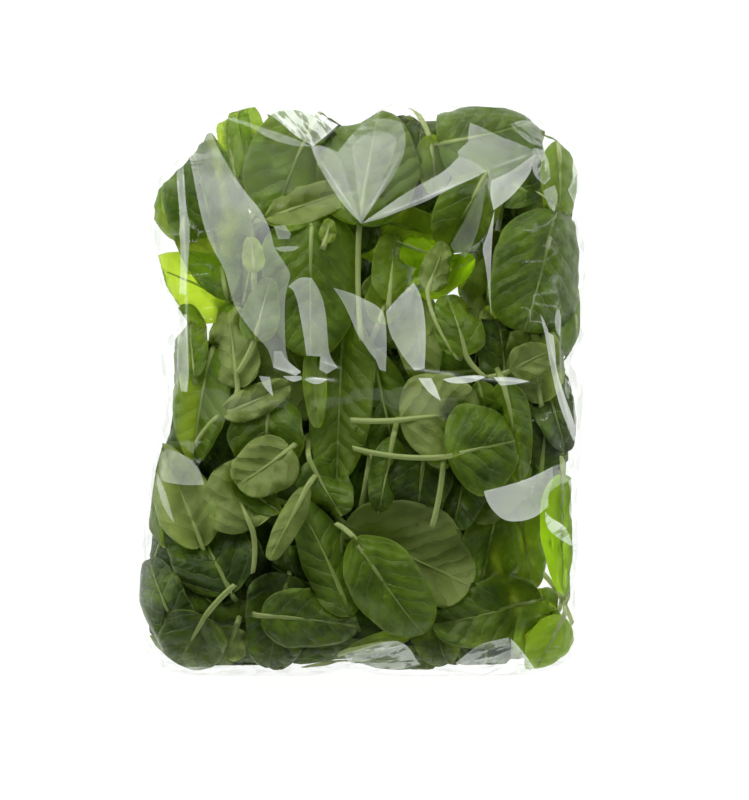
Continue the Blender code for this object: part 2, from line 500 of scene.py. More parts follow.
class BagShape:
    """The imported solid's outline and its front and back heights over the plan."""

    STEP = 2.0 * MM

    def __init__(self, node):
        mesh = node.data
        points = np.array([v.co for v in mesh.vertices], float)
        widest = points[np.argmax(np.abs(points[:, 0]))]
        self.rim_height = float(widest[2])
        rim = points[np.abs(points[:, 2] - self.rim_height) < 0.01 * MM]
        turn = np.arctan2(rim[:, 1], rim[:, 0])
        order = np.argsort(turn)
        self.angles = turn[order]
        self.reaches = np.hypot(rim[:, 0], rim[:, 1])[order]
        self.tree = BVHTree.FromPolygons(
            [tuple(p) for p in points], [tuple(p.vertices) for p in mesh.polygons]
        )
        self.low = points.min(0)
        self.high = points.max(0)
        self.front_map = self.height_map(1)
        self.back_map = self.height_map(-1)

    def outline(self, angle):
        """Distance from the middle to the outline in a direction."""
        return np.interp(angle, self.angles, self.reaches, period=2 * math.pi)

    def height_at(self, x, y, side):
        """Height of the front (side 1) or the back (side -1) at one point."""
        start = Vector((float(x), float(y), side * 1.0))
        hit = self.tree.ray_cast(start, Vector((0.0, 0.0, -side)))
        return hit[0].z if hit[0] is not None else self.rim_height

    def height_map(self, side):
        xs = np.arange(self.low[0], self.high[0] + self.STEP, self.STEP)
        ys = np.arange(self.low[1], self.high[1] + self.STEP, self.STEP)
        return np.array([[self.height_at(x, y, side) for x in xs] for y in ys])

    def read(self, heights, x, y):
        """Height at many points, between the samples of a height map."""
        across = np.clip((x - self.low[0]) / self.STEP, 0, heights.shape[1] - 1.001)
        along = np.clip((y - self.low[1]) / self.STEP, 0, heights.shape[0] - 1.001)
        column, row = across.astype(int), along.astype(int)
        dx, dy = across - column, along - row
        near = heights[row, column] * (1 - dx) + heights[row, column + 1] * dx
        far = heights[row + 1, column] * (1 - dx) + heights[row + 1, column + 1] * dx
        return near * (1 - dy) + far * dy


BAG = BagShape(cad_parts[BAG_NODE])


# ---------------------------------------------------------------------------------------------
# Leaves
# ---------------------------------------------------------------------------------------------

# what Geometry Nodes read of each leaf
LEAF_FIELDS = (
    "heading", "blade_length", "blade_width", "fullness", "belly", "taper", "sweep", "cup", "curl",
    "fold", "ruffle", "stalk_length", "stalk_swing", "hidden_stalk", "underside", "tone", "chance",
    "number",
)

# a blade that is cupped and curled covers less of the plan than its own size
LEAF_GROWTH = 1.08
BLADE_THICKNESS = 0.45 * MM
VEIN_SPACING = 8.5 * MM
VEIN_SLANT = 0.95
# share of the blade's length at which the midrib ends
MIDRIB_REACH = 0.82
SLIM_BLADE = 0.5
# height of a point in its blade: 0 on the lower skin, 1 on the upper one, this one on the stalk
STALK_SKIN = 0.5
# points across and along one blade
FRONT_GRID = (17, 24)
INNER_GRID = (7, 11)
FRONT_SEED, INNER_SEED, PILE_SEED, FILM_SEED = 11, 12, 13, 5


def leaf_row(random, base, tip, width, underside, tone, stalk_end=None):
    """The fields of one leaf from where it lies on the plan, in metres."""
    axis = np.subtract(tip, base)
    length = float(np.hypot(*axis))
    heading = math.atan2(axis[1], axis[0])
    row = {"place": (base[0], base[1], 0.0), "heading": heading}
    row["blade_length"] = length * LEAF_GROWTH
    row["blade_width"] = width * LEAF_GROWTH
    slim = min(1.0, width / length)
    is_wide = slim > SLIM_BLADE
    row["fullness"] = random.uniform(0.62, 0.88) if is_wide else random.uniform(0.8, 1.1)
    row["belly"] = random.uniform(0.04, 0.36)
    row["taper"] = random.uniform(0.15, 0.5)
    row["sweep"] = random.uniform(-0.10, 0.10)
    row["cup"] = random.uniform(-0.20, 0.20) * width
    row["curl"] = random.uniform(-0.10, 0.10) * length
    row["fold"] = random.uniform(-0.30, 0.30) if is_wide else random.choice((-0.7, 0.7))
    row["ruffle"] = random.uniform(0.8, 2.8) * MM
    row["underside"] = float(underside)
    row["tone"] = tone
    row["chance"] = random.uniform(0.0, 1.0)
    row["hidden_stalk"] = float(stalk_end is None)
    if stalk_end is None:
        row["stalk_length"] = random.uniform(8, 26) * MM
        row["stalk_swing"] = random.uniform(-6, 6) * MM
    else:
        stalk = np.subtract(stalk_end, base)
        along = stalk[0] * math.cos(heading) + stalk[1] * math.sin(heading)
        side = stalk[0] * math.sin(heading) - stalk[1] * math.cos(heading)
        row["stalk_length"] = max(6 * MM, -along)
        row["stalk_swing"] = side
    return row


def front_leaf_rows(random):
    rows = []
    for base_x, base_y, tip_x, tip_y, width, side, tone, *stalk in FRONT_LEAVES:
        base, tip = (base_x * MM, base_y * MM), (tip_x * MM, tip_y * MM)
        ends = [(end_x * MM, end_y * MM) for end_x, end_y in stalk]
        rows.append(leaf_row(random, base, tip, width * MM, side, tone, *ends))
    return rows


def segment_distance(point, start, end):
    """Distance from a point to the line between two ends."""
    axis, offset = np.subtract(end, start), np.subtract(point, start)
    share = np.clip(np.dot(offset, axis) / np.dot(axis, axis), 0, 1)
    return float(np.hypot(*(offset - share * axis)))


COVER_CELL = 5 * MM
COVER_REACH = 18 * MM
COVER_CHANCE = 0.4
TRIES = 14


def inner_leaf_place(random):
    """Base, tip, middle and width of a leaf somewhere in the bag."""
    angle = random.uniform(-math.pi, math.pi)
    share = math.sqrt(random.uniform(0.0, 0.98))
    spread = share * float(BAG.outline(angle))
    x, y = spread * math.cos(angle), spread * math.sin(angle)
    length = random.uniform(34, 58) * MM
    width = length * random.uniform(0.55, 0.85)
    heading = random.uniform(-math.pi, math.pi)
    half_x, half_y = 0.5 * length * math.cos(heading), 0.5 * length * math.sin(heading)
    return (x - half_x, y - half_y), (x + half_x, y + half_y), (x, y), width


def inner_leaf_rows(random, count):
    """Leaves spread evenly over the plan, beside the clearings and not over them."""
    count_x, count_y = (int(size / COVER_CELL) + 1 for size in (BAG.high - BAG.low)[:2])
    grid_x, grid_y = np.meshgrid(
        BAG.low[0] + COVER_CELL * np.arange(count_x), BAG.low[1] + COVER_CELL * np.arange(count_y)
    )
    cover = np.zeros_like(grid_x)
    clear = [((x * MM, y * MM), reach * MM) for x, y, reach in CLEARINGS]
    rows = []
    while len(rows) < count:
        best = None
        for _ in range(TRIES):
            base, tip, (x, y), width = inner_leaf_place(random)
            if any(segment_distance(c, base, tip) < reach + 0.45 * width for c, reach in clear):
                continue
            near = np.hypot(grid_x - x, grid_y - y) < COVER_REACH
            score = cover[near].mean() + random.uniform(0, COVER_CHANCE)
            if best is None or score < best[0]:
                best = (score, base, tip, width, near)
        if best is None:
            continue
        _, base, tip, width, near = best
        cover[near] += 1
        side = random.choice((FACE, FACE, FACE, BACK))
        # leaves behind get low tones: painted shade deep in the pile
        rows.append(leaf_row(random, base, tip, width, side, random.uniform(-0.8, 0.1)))
    return rows


LEAF_INPUTS = (
    ("Columns", "NodeSocketInt", 15),
    ("Rows", "NodeSocketInt", 22),
    ("Thickness", "NodeSocketFloat", BLADE_THICKNESS),
    ("Pucker", "NodeSocketFloat", 2.4 * MM),
    ("Quilt", "NodeSocketFloat", 0.65 * MM),
    ("Stalk Sides", "NodeSocketInt", 7),
    ("Stalk Rings", "NodeSocketInt", 14),
    ("Stalk Radius", "NodeSocketFloat", 1.4 * MM),
    ("Blade Material", "NodeSocketMaterial", None),
    ("Stalk Material", "NodeSocketMaterial", None),
)


class LeafTree:
    """Geometry nodes: one blade and one stalk at each point, shaped by the point's own fields."""

    def __init__(self):
        self.tree = bpy.data.node_groups.new("baby_leaves", "GeometryNodeTree")
        self.graph = Graph(self.tree)
        sockets = self.tree.interface
        sockets.new_socket("Places", in_out="INPUT", socket_type="NodeSocketGeometry")
        for name, kind, value in LEAF_INPUTS:
            socket = sockets.new_socket(name, in_out="INPUT", socket_type=kind)
            if value is not None:
                socket.default_value = value
        sockets.new_socket("Leaves", in_out="OUTPUT", socket_type="NodeSocketGeometry")
        self.entry = self.graph.add("NodeGroupInput")
        both = self.join(self.stalk(), self.blade())
        whole = self.graph.add("GeometryNodeRealizeInstances", None, {"Geometry": both})
        self.graph.add("NodeGroupOutput", None, {"Leaves": whole})

    def field(self, name):
        settings = {"data_type": "FLOAT"}
        return self.graph.add("GeometryNodeInputNamedAttribute", settings, {"Name": name})

    def vector_field(self, name):
        settings = {"data_type": "FLOAT_VECTOR"}
        return self.graph.add("GeometryNodeInputNamedAttribute", settings, {"Name": name})

    def keep(self, shape, name, value):
        settings = {"data_type": "FLOAT_VECTOR", "domain": "POINT"}
        sockets = {"Geometry": shape, "Name": name, "Value": value}
        return self.graph.add("GeometryNodeStoreNamedAttribute", settings, sockets)

    def join(self, first, second):
        both = self.graph.add("GeometryNodeJoinGeometry", None, {"Geometry": first})
        self.tree.links.new(second.socket, both.socket.node.inputs["Geometry"])
        return both

    def at_each_place(self, shape):
        sockets = {"Points": self.entry["Places"], "Instance": shape}
        copies = self.graph.add("GeometryNodeInstanceOnPoints", None, sockets)
        return self.graph.add("GeometryNodeRealizeInstances", None, {"Geometry": copies})

    def placed(self, shape, side, along, up, material):
        """Moves a shape's points from the leaf's own directions to the bag's plan."""
        graph = self.graph
        heading = self.field("heading")
        sine, cosine = graph.math("SINE", heading), graph.math("COSINE", heading)
        offset = graph.vector(sine * side + cosine * along, sine * along - cosine * side, up)
        sockets = {0: self.vector_field("place"), 1: offset}
        position = graph.add("ShaderNodeVectorMath", {"operation": "ADD"}, sockets)
        shape = graph.add("GeometryNodeSetPosition", None, {"Geometry": shape, "Position": position})
        sockets = {"Geometry": shape, "Material": self.entry[material]}
        return graph.add("GeometryNodeSetMaterial", None, sockets)

    def axis_shift(self, share):
        """How far the midrib swings to the side on its way to the tip."""
        return self.field("sweep") * self.field("blade_length") * share * share

    def relief(self, across, share):
        """How far the blade rises: cupped, curled, folded and ruffled."""
        field = self.field
        middle = 2.0 * share - 1.0
        cupped = field("cup") * across * across
        curled = field("curl") * middle * middle * middle * middle
        folded = field("fold") * abs(across) * field("blade_width") * 0.5
        wave = self.graph.math("SINE", share * 11.0 + field("chance") * 20.0 + across)
        ruffled = field("ruffle") * wave * across * across * 1.6
        return cupped + curled + folded + ruffled

    def closed_sheet(self):
        """A flat sheet with an upper and a lower skin."""
        graph, entry = self.graph, self.entry
        sockets = {"Size X": 2.0, "Size Y": 1.0}
        sockets.update({"Vertices X": entry["Columns"], "Vertices Y": entry["Rows"]})
        sheet = graph.add("GeometryNodeMeshGrid", None, sockets)
        sockets = {"Mesh": sheet, "Offset": graph.vector(0.0, 0.0, 1.0), "Individual": False}
        upper = graph.add("GeometryNodeExtrudeMesh", {"mode": "FACES"}, sockets)
        lower = graph.add("GeometryNodeFlipFaces", None, {"Mesh": sheet})
        return graph.add("GeometryNodeMergeByDistance", None, {"Geometry": self.join(lower, upper)})

    def half_width(self, across, share, cosine, swell):
        """Half the blade's width, with a narrow neck and an uneven edge."""
        graph, field = self.graph, self.field
        neck = 1.0 - field("taper") * graph.math("EXPONENT", share * -9.0)
        edge_side = graph.step(across, -0.2, 0.2)
        place = graph.vector(share * 2.6, edge_side * 3.0, field("chance") * 50.0)
        wave = graph.add("ShaderNodeTexNoise", None, {"Vector": place, "Scale": 1.0, "Detail": 1.5})
        half = field("blade_width") * 0.53 * swell * (field("belly") * cosine + 1.0) * neck
        return half * (0.78 + 0.44 * wave) + 0.7 * MM

    def blade(self):
        """A closed skin with a midrib groove, pillows between the side veins, and dents."""
        graph, field, entry = self.graph, self.field, self.entry
        x, y, z = graph.split(graph.add("GeometryNodeInputPosition"))
        sheet = self.keep(self.closed_sheet(), "leaf_grid", graph.vector(x, y + 0.5, z))
        sheet = self.at_each_place(sheet)
        across, row, skin = graph.split(self.vector_field("leaf_grid"))
        phase = (row * 0.955 + 0.022) * math.pi
        cosine = graph.math("COSINE", phase)
        share = 0.5 - 0.5 * cosine
        swell = graph.math("SINE", phase) ** field("fullness")
        midrib = self.axis_shift(share)
        side = across * self.half_width(across, share, cosine, swell) + midrib
        along = share * field("blade_length")
        place = graph.vector(side, along, field("chance"))
        dents = graph.add("ShaderNodeTexNoise", None, {"Vector": place, "Scale": 105.0, "Detail": 2.0})
        dented = (dents - 0.5) * 2.0 * entry["Pucker"]
        groove = graph.math("EXPONENT", across * across * -60.0) * -0.7 * MM
        lateral = (along - abs(side - midrib) * VEIN_SLANT) / VEIN_SPACING + field("chance") * 3.0
        pillows = abs(graph.math("SINE", lateral * math.pi)) * entry["Quilt"] * swell
        up = self.relief(across, share) + dented + pillows + groove + (skin - 0.5) * entry["Thickness"]
        sheet = self.keep(sheet, "leaf_plan", graph.vector(side - midrib, along, skin))
        return self.placed(sheet, side, along, up, "Blade Material")

    def stalk(self):
        """A rod from the stalk's end to well up the blade, where it is the midrib."""
        graph, field, entry = self.graph, self.field, self.entry
        x, y, z = graph.split(graph.add("GeometryNodeInputPosition"))
        sockets = {"Vertices": entry["Stalk Sides"], "Side Segments": entry["Stalk Rings"]}
        sockets.update({"Radius": 1.0, "Depth": 1.0})
        rod = graph.add("GeometryNodeMeshCylinder", None, sockets)
        rod = self.at_each_place(self.keep(rod, "stalk_grid", graph.vector(x, y, z + 0.5)))
        ring_x, ring_y, run = graph.split(self.vector_field("stalk_grid"))
        length, reach = field("stalk_length"), field("blade_length") * MIDRIB_REACH
        along = run * (length + reach) - length
        share = graph.math("MAXIMUM", along / field("blade_length"), 0.0)
        back = graph.math("MINIMUM", along / length, 0.0)
        thin = 1.0 - graph.step(along / reach, -0.15, 1.0) * 0.78
        radius = entry["Stalk Radius"] * thin * (graph.step(run, 0.0, 0.03) * 0.12 + 0.88)
        swing = (back * back * 0.55 - back * 0.45) * field("stalk_swing")
        side = ring_x * radius + self.axis_shift(share) + swing
        facing = field("underside") * 2.0 - 1.0
        up = self.relief(0.0 * run, share) - ring_y * radius * 0.8 + facing * 0.25 * MM
        rod = self.keep(rod, "leaf_plan", graph.vector(side, along, STALK_SKIN))
        return self.placed(rod, side, along, up, "Stalk Material")


def points_object(name, rows):
    """A cloud of points that carries each leaf's fields."""
    mesh = bpy.data.meshes.new(name)
    mesh.from_pydata([row["place"] for row in rows], [], [])
    store(mesh, "place", "FLOAT_VECTOR", "POINT", [row["place"] for row in rows])
    for number, row in enumerate(rows):
        row["number"] = float(number)
    for key in LEAF_FIELDS:
        store(mesh, key, "FLOAT", "POINT", [row[key] for row in rows])
    made = bpy.data.objects.new(name, mesh)
    bpy.context.scene.collection.objects.link(made)
    return made


def leaves_object(name, rows, grid, materials):
    """The leaves as a plain mesh, each lying flat at its place."""
    columns, rings = grid
    source = points_object(name + "_places", rows)
    modifier = source.modifiers.new("leaves", "NODES")
    modifier.node_group = LeafTree().tree
    wanted = {
        "Columns": columns,
        "Rows": rings,
        "Stalk Rings": rings,
        "Stalk Sides": 7 if grid == FRONT_GRID else 5,
        "Blade Material": materials[0],
        "Stalk Material": materials[1],
    }
    for item in modifier.node_group.interface.items_tree:
        if item.in_out == "INPUT" and item.name in wanted:
            modifier[item.identifier] = wanted[item.name]
    graph = bpy.context.evaluated_depsgraph_get()
    mesh = bpy.data.meshes.new_from_object(source.evaluated_get(graph))
    source.modifiers.remove(modifier)
    bpy.data.objects.remove(source)
    mesh.name = name
    made = bpy.data.objects.new(name, mesh)
    bpy.context.scene.collection.objects.link(made)
    return made


def read_field(mesh, name, width=1):
    attribute = mesh.attributes[name]
    values = np.zeros(len(mesh.vertices) * width, np.float32)
    attribute.data.foreach_get("vector" if width == 3 else "value", values)
    values = values.astype(float)
    return values.reshape(-1, 3) if width == 3 else values


def store(mesh, name, kind, domain, values):
    """Adds an attribute with a value for each point or face."""
    key = "vector" if kind == "FLOAT_VECTOR" else "value"
    made = mesh.attributes.new(name, kind, domain)
    made.data.foreach_set(key, np.asarray(values, np.float32).ravel())


class Pile:
    """How deep the leaves already reach below the front film, over the plan."""

    STEP = 1.0 * MM

    def __init__(self):
        self.low = BAG.low[:2] - 5 * MM
        size = BAG.high[:2] - BAG.low[:2] + 10 * MM
        self.depth = np.zeros((int(size[1] / self.STEP) + 2, int(size[0] / self.STEP) + 2))

    def cells(self, x, y):
        column = np.clip(((x - self.low[0]) / self.STEP).astype(int), 0, self.depth.shape[1] - 1)
        row = np.clip(((y - self.low[1]) / self.STEP).astype(int), 0, self.depth.shape[0] - 1)
        return row, column

    def read(self, x, y):
        return self.depth[self.cells(x, y)]

    def lay(self, x, y, depth):
        np.maximum.at(self.depth, self.cells(x, y), depth)

    def settled(self):
        """The reach of the whole pile, without its small ups and downs."""
        smooth = self.depth.copy()
        for _ in range(6):
            smooth = np.maximum(smooth, neighbours(smooth))
        for _ in range(60):
            smooth = neighbours(smooth)
        return smooth


def neighbours(field):
    """Each value with the ones around it, averaged."""
    padded = np.pad(field, 1, mode="edge")
    around = padded[:-2, 1:-1] + padded[2:, 1:-1] + padded[1:-1, :-2] + padded[1:-1, 2:]
    return 0.5 * field + 0.125 * around


def refine(field, times=3):
    """The same sheet with more points in between."""
    rows, columns = field.shape
    new_rows = np.linspace(0, rows - 1, (rows - 1) * times + 1)
    new_columns = np.linspace(0, columns - 1, (columns - 1) * times + 1)
    r, c = np.minimum(new_rows.astype(int), rows - 2), np.minimum(new_columns.astype(int), columns - 2)
    dr, dc = (new_rows - r)[:, None], (new_columns - c)[None, :]
    top = field[r][:, c] * (1 - dc) + field[r][:, c + 1] * dc
    bottom = field[r + 1][:, c] * (1 - dc) + field[r + 1][:, c + 1] * dc
    return top * (1 - dr) + bottom * dr


def inside_bag(x, y, margin):
    """Pulls points that lie past the film back inside, and says how far past they were."""
    angle, reach = np.arctan2(y, x), np.hypot(x, y)
    limit = BAG.outline(angle) - margin
    past = np.maximum(reach - limit, 0.0)
    kept = np.where(past > 0, limit - 1.2 * MM * np.tanh(past / (4 * MM)), reach)
    scale = kept / np.maximum(reach, 1e-9)
    return x * scale, y * scale, past


LEAF_GAP = 0.9 * MM
FILM_GAP = 1.3 * MM
STALK_GAP = 1.6 * MM
# how far leaves keep from the bag's edge, at least and by chance
FRONT_INSET = 1.5 * MM
INNER_INSET = 4.0 * MM
INSET_SPREAD = 2.6 * MM
# where the bag is this thin leaves are pressed flat, and where it is this thick they keep their relief
THIN_BAG = 8 * MM
FULL_BAG = 26 * MM


class LeafStack:
    """The leaves of one object: where each point lies, and its row and column in its leaf."""

    def __init__(self, made, grid, inset):
        self.made, self.inset = made, inset
        self.columns, self.rings = grid
        mesh = made.data
        co = np.zeros(len(mesh.vertices) * 3, np.float32)
        mesh.vertices.foreach_get("co", co)
        self.co = co.astype(float).reshape(-1, 3)
        self.number = read_field(mesh, "number").astype(int)
        self.dives = read_field(mesh, "hidden_stalk") > 0.5
        self.skin = read_field(mesh, "leaf_plan", 3)[:, 2]
        self.is_rod = self.skin == STALK_SKIN
        blade_grid, stalk_grid = read_field(mesh, "leaf_grid", 3), read_field(mesh, "stalk_grid", 3)
        self.column = np.round((blade_grid[:, 0] + 1) / 2 * (self.columns - 1)).astype(int)
        blade_row = np.round(blade_grid[:, 1] * (self.rings - 1))
        stalk_row = np.round(stalk_grid[:, 2] * self.rings)
        self.row = np.where(self.is_rod, stalk_row, blade_row).astype(int)
        # how deep below the front film each point comes to lie, and by how much it sinks first
        self.depth = np.zeros(len(self.co))
        self.sink = np.zeros(len(self.co))

    def lay_all(self, pile, random):
        for leaf in range(self.number.max() + 1):
            mine = np.where(self.number == leaf)[0]
            blade, stalk = mine[~self.is_rod[mine]], mine[self.is_rod[mine]]
            margin = self.inset + INSET_SPREAD * random.random()
            x, y, past = inside_bag(self.co[mine, 0], self.co[mine, 1], margin)
            self.co[mine, 0], self.co[mine, 1] = x, y
            midrib = self.lay_blade(blade, past[~self.is_rod[mine]], pile)
            self.lay_stalk(stalk, midrib, pile)

    def lay_blade(self, blade, past, pile):
        """Lays one blade on the pile, and returns its midrib's places and depths."""
        cells = self.row[blade], self.column[blade]
        sheet_x, sheet_y, lift, over = (np.zeros((self.rings, self.columns)) for _ in range(4))
        sheet_x[cells] = self.co[blade, 0]
        sheet_y[cells] = self.co[blade, 1]
        lift[cells] = self.co[blade, 2]
        over[cells] = past
        rest = pile.read(sheet_x, sheet_y) + LEAF_GAP
        for _ in range(2):
            rest = np.maximum(rest, neighbours(rest))
        level = 0.45 * np.quantile(rest + lift, 0.8) + 0.55 * (rest + np.quantile(lift, 0.9))
        level = level + 0.8 * over
        for _ in range(5):
            level = neighbours(level)
        depth = np.maximum(level - lift, rest)
        pile.lay(refine(sheet_x), refine(sheet_y), refine(depth) + 0.5 * MM)
        self.depth[blade] = depth[cells] + lift[cells]
        middle = self.columns // 2
        return sheet_x[:, middle], sheet_y[:, middle], depth[:, middle] + lift[:, middle]

    def lay_stalk(self, stalk, midrib, pile):
        """Leads a stalk on from its blade's midrib."""
        rib_x, rib_y, rib_depth = midrib
        row = self.row[stalk]
        count = np.maximum(np.bincount(row, minlength=self.rings + 1), 1)
        x, y, height = (
            np.bincount(row, self.co[stalk, axis], self.rings + 1) / count for axis in range(3)
        )
        steps = np.hypot(x[:, None] - rib_x[None, :], y[:, None] - rib_y[None, :])
        nearest = steps.argmin(1)
        on_blade = steps[np.arange(self.rings + 1), nearest] < 3.5 * MM
        free = ~on_blade
        line = rib_depth[nearest]
        start = line[on_blade][0] if on_blade.any() else line[-1]
        held = pile.read(x, y) + STALK_GAP
        depth = np.maximum(np.where(free, start, line), np.where(held < start + 3 * MM, held, 0))
        depth = np.where(free, depth, line)
        for _ in range(3):
            eased = 0.5 * depth[1:-1] + 0.25 * (depth[2:] + depth[:-2])
            depth[1:-1] = np.where(free[1:-1], eased, depth[1:-1])
        if self.dives[stalk[0]]:
            first = np.argmax(on_blade) if on_blade.any() else self.rings
            ahead = np.hypot(x - x[first], y - y[first])
            depth = np.where(free, depth + 0.9 * ahead, depth)
        self.depth[stalk] = depth[row]
        self.sink[stalk] = height[row]

    def settle(self, pile_depth):
        """Presses the pile into the room between the front and the back of the bag."""
        x, y = self.co[:, 0], self.co[:, 1]
        front = BAG.read(BAG.front_map, x, y) - FILM_GAP
        back = BAG.read(BAG.back_map, x, y) + FILM_GAP
        total = np.maximum(pile_depth, 1 * MM)
        room = np.maximum(front - back, 1 * MM)
        relief = self.co[:, 2] - self.sink
        level = np.minimum(self.depth / total, 1.0) * room
        # near the edge a leaf's own ups and downs are pressed flat with the pile
        pressed = np.minimum(room / total, 1.0)
        ease = np.clip((room - THIN_BAG) / (FULL_BAG - THIN_BAG), 0, 1)
        kept = np.where(self.is_rod, 1.0, pressed + (1 - pressed) * ease)
        apart = (self.skin - STALK_SKIN) * BLADE_THICKNESS
        height = front - level + relief * kept
        self.co[:, 2] = np.clip(height, back - 0.3 * MM + apart, front + apart)
        self.made.data.vertices.foreach_set("co", self.co.astype(np.float32).ravel())
        self.made.data.update()


def lay_leaves(stacks, random):
    """Stacks the leaves below the front film, front ones first, and fills the bag with them."""
    pile = Pile()
    for stack in stacks:
        stack.lay_all(pile, random)
    whole = pile.settled()
    for stack in stacks:
        stack.settle(whole[pile.cells(stack.co[:, 0], stack.co[:, 1])])


def finish_leaves(made):
    """Leaves smooth faces and only the fields that the materials read."""
    mesh = made.data
    plan = read_field(mesh, "leaf_plan", 3)
    underside = read_field(mesh, "underside")
    grid = read_field(mesh, "leaf_grid", 3)
    is_rod = plan[:, 2] == STALK_SKIN
    pale = np.where(is_rod, 0.0, 1.0 - np.abs(underside - plan[:, 2]))
    edge = np.where(is_rod, 0.0, np.maximum(np.abs(grid[:, 0]), np.abs(2 * grid[:, 1] - 1)))
    for name, values in (("pale_skin", pale), ("near_edge", edge)):
        store(mesh, name, "FLOAT", "POINT", values)
    done = (set(LEAF_FIELDS) | {"leaf_grid", "stalk_grid", "place"}) - {"tone", "chance"}
    for name in done & {attribute.name for attribute in mesh.attributes}:
        mesh.attributes.remove(mesh.attributes[name])
    mesh.shade_smooth()
    made.data.update()


# ---------------------------------------------------------------------------------------------
# Film
# ---------------------------------------------------------------------------------------------


def polygon_distance(x, y, corners):
    """Signed distance to a polygon's edge in the plan, positive inside."""
    inside = np.zeros(x.shape, bool)
    nearest = np.full(x.shape, 1e9)
    for (x0, y0), (x1, y1) in zip(corners, corners[1:] + corners[:1]):
        dx, dy = x1 - x0, y1 - y0
        share = np.clip(((x - x0) * dx + (y - y0) * dy) / (dx * dx + dy * dy), 0, 1)
        nearest = np.minimum(nearest, np.hypot(x - x0 - share * dx, y - y0 - share * dy))
        crosses = (y0 > y) != (y1 > y)
        edge_x = x0 + (y - y0) * dx / (dy if dy else 1e-12)
        inside ^= crosses & (x < edge_x)
    return np.where(inside, nearest, -nearest)


def smooth_step(value, low, high):
    share = np.clip((value - low) / (high - low), 0, 1)
    return share * share * (3 - 2 * share)


def value_noise(x, y, random, size):
    """Smooth random field with bumps about size apart."""
    columns = int((BAG.high[0] - BAG.low[0]) / size) + 6
    rows = int((BAG.high[1] - BAG.low[1]) / size) + 6
    grid = random.standard_normal((rows, columns))
    across, along = (x - BAG.low[0]) / size + 2, (y - BAG.low[1]) / size + 2
    column = np.clip(across.astype(int), 0, columns - 2)
    row = np.clip(along.astype(int), 0, rows - 2)
    dx, dy = smooth_step(across - column, 0, 1), smooth_step(along - row, 0, 1)
    near = grid[row, column] * (1 - dx) + grid[row, column + 1] * dx
    far = grid[row + 1, column] * (1 - dx) + grid[row + 1, column + 1] * dx
    return near * (1 - dy) + far * dy


SHARP_TURN = math.radians(48)
FACET_SLOPE = 0.11
FACET_LIFT = 1.1 * MM
# a facet's painted glare gets stronger across it, and along its edge
FACET_REACH = 12 * MM
FACET_SHADE = 0.16
EDGE_REACH = 0.9 * MM
EDGE_SHADE = 0.22
CREASE_WIDTH = 1.8 * MM
CREASE_HEIGHT = 0.8 * MM
BROAD_WAVE = 0.25 * MM
# how much closer together wrinkles lie than they are long
WRINKLE_RATIO = 4.5
RIM_TURNS = 1440
BACK_COARSER = 2.2


def within_outline(point):
    """The same point, brought back if it lies past the bag's outline."""
    limit = 0.992 * float(BAG.outline(math.atan2(point.y, point.x)))
    return point * (limit / point.length) if point.length > limit else point


def rounded(corners):
    """An outline whose blunt corners are cut twice, so that it curves, and whose sharp ones stay."""
    points = [Vector(corner) * MM for corner in corners]
    for _ in range(2):
        cut = []
        for before, here, after in zip(points[-1:] + points[:-1], points, points[1:] + points[:1]):
            if (here - before).angle(after - here, 0.0) > SHARP_TURN:
                cut.append(here)
            else:
                cut.append(here.lerp(before, 0.25))
                cut.append(here.lerp(after, 0.25))
        points = cut
    return [within_outline(point) for point in points]


def stepped(points, closed, spacing):
    """The same line with a point every spacing or so."""
    ends = list(zip(points, points[1:] + points[:1]))
    line = []
    for start, end in ends if closed else ends[:-1]:
        count = max(1, round((end - start).length / spacing))
        line.extend(start.lerp(end, step / count) for step in range(count))
    return line if closed else line + [points[-1]]


class FilmPlan:
    """Flat triangles that fill the bag's outline, with edges along the lines given."""

    def __init__(self, rim, spacing, lines):
        points = list(rim)
        edges = [(k, (k + 1) % len(rim)) for k in range(len(rim))]
        for line, closed in lines:
            first = len(points)
            points.extend(line)
            last = len(points) - 1
            edges.extend((k, k + 1) for k in range(first, last))
            if closed:
                edges.append((last, first))
        taken = KDTree(len(points))
        for number, point in enumerate(points):
            taken.insert((point.x, point.y, 0.0), number)
        taken.balance()
        lift = spacing * math.sqrt(3) / 2
        rows = np.arange(BAG.low[1], BAG.high[1], lift)
        for number, y in enumerate(rows):
            for x in np.arange(BAG.low[0] + (number % 2) * spacing / 2, BAG.high[0], spacing):
                inside = math.hypot(x, y) < BAG.outline(math.atan2(y, x)) - 0.6 * spacing
                if inside and taken.find((x, y, 0.0))[2] > 0.55 * spacing:
                    points.append(Vector((x, y)))
        made = delaunay_2d_cdt(points, edges, [], 1, 1e-7)
        self.points = np.array([tuple(point) for point in made[0]])
        self.faces = [tuple(face) for face in made[2]]
        self.folds = [tuple(made[1][k]) for k, came_from in enumerate(made[4]) if came_from]
        self.rim = np.zeros(len(rim), int)
        for number, came_from in enumerate(made[3]):
            for source in came_from:
                if source < len(rim):
                    self.rim[source] = number


def crease_tent(x, y, start, end):
    """A sharp ridge along a fold, from 0 to 1, fading out towards its ends."""
    dx, dy = end[0] - start[0], end[1] - start[1]
    length = math.hypot(dx, dy)
    along = ((x - start[0]) * dx + (y - start[1]) * dy) / length**2
    off = np.abs((x - start[0]) * dy - (y - start[1]) * dx) / length
    ends = np.clip(np.minimum(along, 1 - along) / 0.25, 0, 1)
    return np.clip(1 - off / CREASE_WIDTH, 0, 1) * ends


